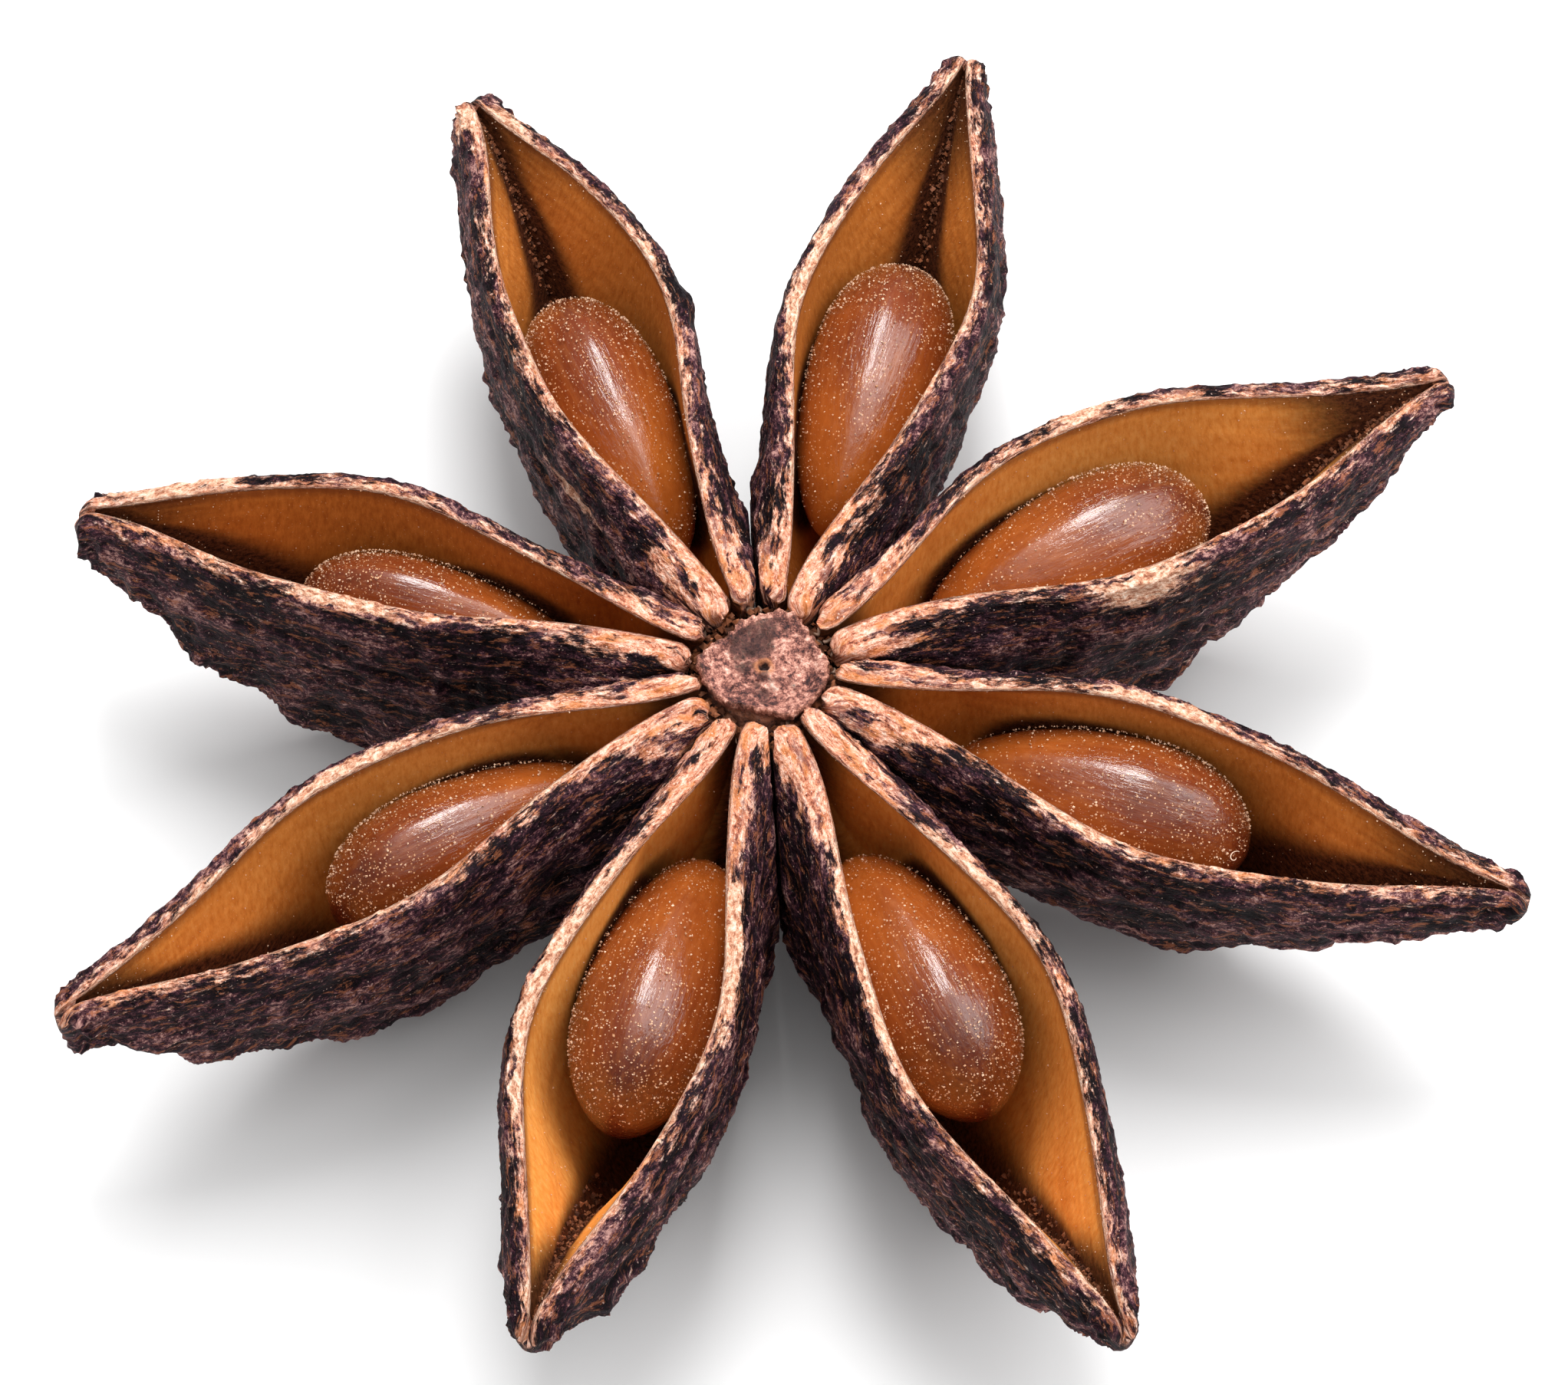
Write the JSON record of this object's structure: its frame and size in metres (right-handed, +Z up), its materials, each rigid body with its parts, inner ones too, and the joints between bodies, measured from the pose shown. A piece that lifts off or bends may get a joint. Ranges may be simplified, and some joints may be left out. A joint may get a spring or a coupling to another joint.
{
  "type": "star anise pod",
  "caption": "Dried star anise pod, split open: boat-shaped woody carpels round a short column, each holding one glossy seed.",
  "frame": {"origin": "centre of the flat stem scar under the column, in the plane that the pod rests on", "axes": "+Z up, out of the open side of the pod, along the column; +X and +Y lie in the resting plane"},
  "size_m": [0.0312, 0.0319, 0.0071],
  "materials": {
    "bark": "matte",
    "seed_coat": "glossy",
    "column": "matte"
  },
  "bodies": {
    "root": {"core": "column", "carpel_1": "bark", "carpel_2": "bark", "carpel_3": "bark", "carpel_4": "bark", "carpel_5": "bark", "carpel_6": "bark", "carpel_7": "bark", "carpel_8": "bark", "seed_1": "seed_coat", "seed_2": "seed_coat", "seed_3": "seed_coat", "seed_4": "seed_coat", "seed_5": "seed_coat", "seed_6": "seed_coat", "seed_7": "seed_coat", "seed_8": "seed_coat"}
  },
  "joints": []
}
